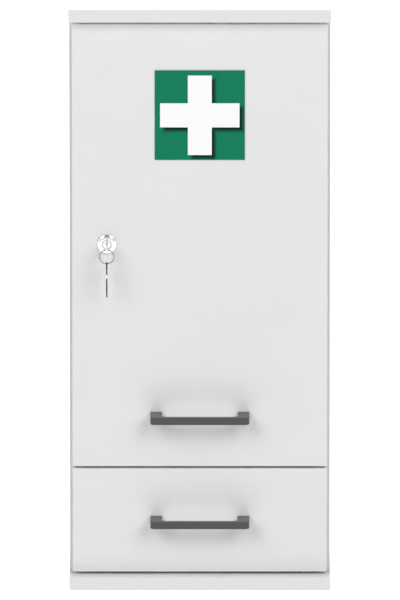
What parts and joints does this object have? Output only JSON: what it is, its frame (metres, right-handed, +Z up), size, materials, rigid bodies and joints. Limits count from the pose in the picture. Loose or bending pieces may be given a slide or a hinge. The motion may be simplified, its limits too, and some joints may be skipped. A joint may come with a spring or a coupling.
{
  "type": "medical cabinet",
  "caption": "Tall white board cabinet with a locking door, green first-aid sign, drawer, loose shelves, bar handles and a wall rail; stands on its base or hangs on a wall.",
  "frame": {"origin": "middle of the base board's underside", "axes": "+Z up, -Y out of the door and drawer fronts, +X to the right seen from the front"},
  "size_m": [0.4, 0.3765, 0.921],
  "materials": {
    "white_board": "white melamine on chipboard, fine pearl",
    "thin_board": "white lacquered fibreboard",
    "anthracite": "satin anthracite",
    "bright_metal": "bright nickel",
    "zinc_steel": "zinc plated",
    "green_sign": "satin green sheet",
    "white_sign": "satin white sheet",
    "buffer": "clear soft plastic"
  },
  "bodies": {
    "carcass": {"top_panel": "white_board", "base_panel": "white_board", "left_side": "white_board", "right_side": "white_board", "back_panel": "thin_board", "wall_rail": "white_board", "divider": "white_board", "lower_shelf": "white_board", "upper_shelf": "white_board", "lower_left_front_pin": "zinc_steel", "lower_left_back_pin": "zinc_steel", "lower_right_front_pin": "zinc_steel", "lower_right_back_pin": "zinc_steel", "upper_left_front_pin": "zinc_steel", "upper_left_back_pin": "zinc_steel", "upper_right_front_pin": "zinc_steel", "upper_right_back_pin": "zinc_steel", "lock_strike": "zinc_steel", "lower_hinge_arm": "zinc_steel", "lower_hinge_plate": "zinc_steel", "upper_hinge_arm": "zinc_steel", "upper_hinge_plate": "zinc_steel", "left_slide_outer": "zinc_steel", "right_slide_outer": "zinc_steel"},
    "door": {"door_panel": "white_board", "door_handle": "anthracite", "door_handle_left_screw": "zinc_steel", "door_handle_right_screw": "zinc_steel", "lower_hinge_cup": "zinc_steel", "lower_hinge_pin": "zinc_steel", "upper_hinge_cup": "zinc_steel", "upper_hinge_pin": "zinc_steel", "lower_buffer": "buffer", "upper_buffer": "buffer", "sign_plate": "green_sign", "sign_cross": "white_sign", "lock_barrel": "bright_metal", "lock_case": "zinc_steel"},
    "lock_plug": {"lock_plug": "bright_metal"},
    "lock_bolt": {"lock_bolt": "zinc_steel"},
    "key": {"key": "bright_metal"},
    "key_ring": {"key_ring": "bright_metal"},
    "spare_key": {"spare_key": "bright_metal"},
    "drawer": {"drawer_front": "white_board", "drawer_handle": "anthracite", "drawer_handle_left_screw": "zinc_steel", "drawer_handle_right_screw": "zinc_steel", "drawer_left_side": "white_board", "drawer_right_side": "white_board", "drawer_back": "white_board", "drawer_bottom": "thin_board", "left_slide_inner": "zinc_steel", "right_slide_inner": "zinc_steel"},
    "slide_middles": {"left_slide_middle": "zinc_steel", "right_slide_middle": "zinc_steel"}
  },
  "joints": [
    {"name": "door_hinge", "type": "hinge", "parent": "carcass", "child": "door", "pos_m": [0.18775, -0.151, 0.5445], "axis": [0, 0, 1], "range_deg": [0, 95]},
    {"name": "drawer_slide", "type": "slide", "parent": "carcass", "child": "drawer", "axis": [0, -1, 0], "range_m": [0, 0.27]},
    {"name": "slide_middle", "type": "slide", "parent": "carcass", "child": "slide_middles", "axis": [0, -1, 0], "range_m": [0, 0.136]},
    {"name": "lock_turn", "type": "hinge", "parent": "door", "child": "lock_plug", "pos_m": [-0.14175, -0.156, 0.548], "axis": [0, 1, 0], "range_deg": [0, 360]},
    {"name": "bolt_throw", "type": "slide", "parent": "door", "child": "lock_bolt", "axis": [-1, 0, 0], "range_m": [0, 0.0101]},
    {"name": "key_pull", "type": "slide", "parent": "lock_plug", "child": "key", "axis": [0, -1, 0], "range_m": [0, 0.03]},
    {"name": "ring_swing", "type": "hinge", "parent": "key", "child": "key_ring", "pos_m": [-0.14175, -0.1905, 0.5468], "axis": [1, 0, 0], "range_deg": [-60, 10]},
    {"name": "spare_key_swing", "type": "hinge", "parent": "key_ring", "child": "spare_key", "pos_m": [-0.14175, -0.1905, 0.5248], "axis": [1, 0, 0], "range_deg": [-60, 10]}
  ],
  "couplings": [
    {"joint": "slide_middle", "follows": "drawer_slide", "ratio": 0.5},
    {"joint": "bolt_throw", "follows": "lock_turn", "m_per_rad": 0.0015915}
  ]
}
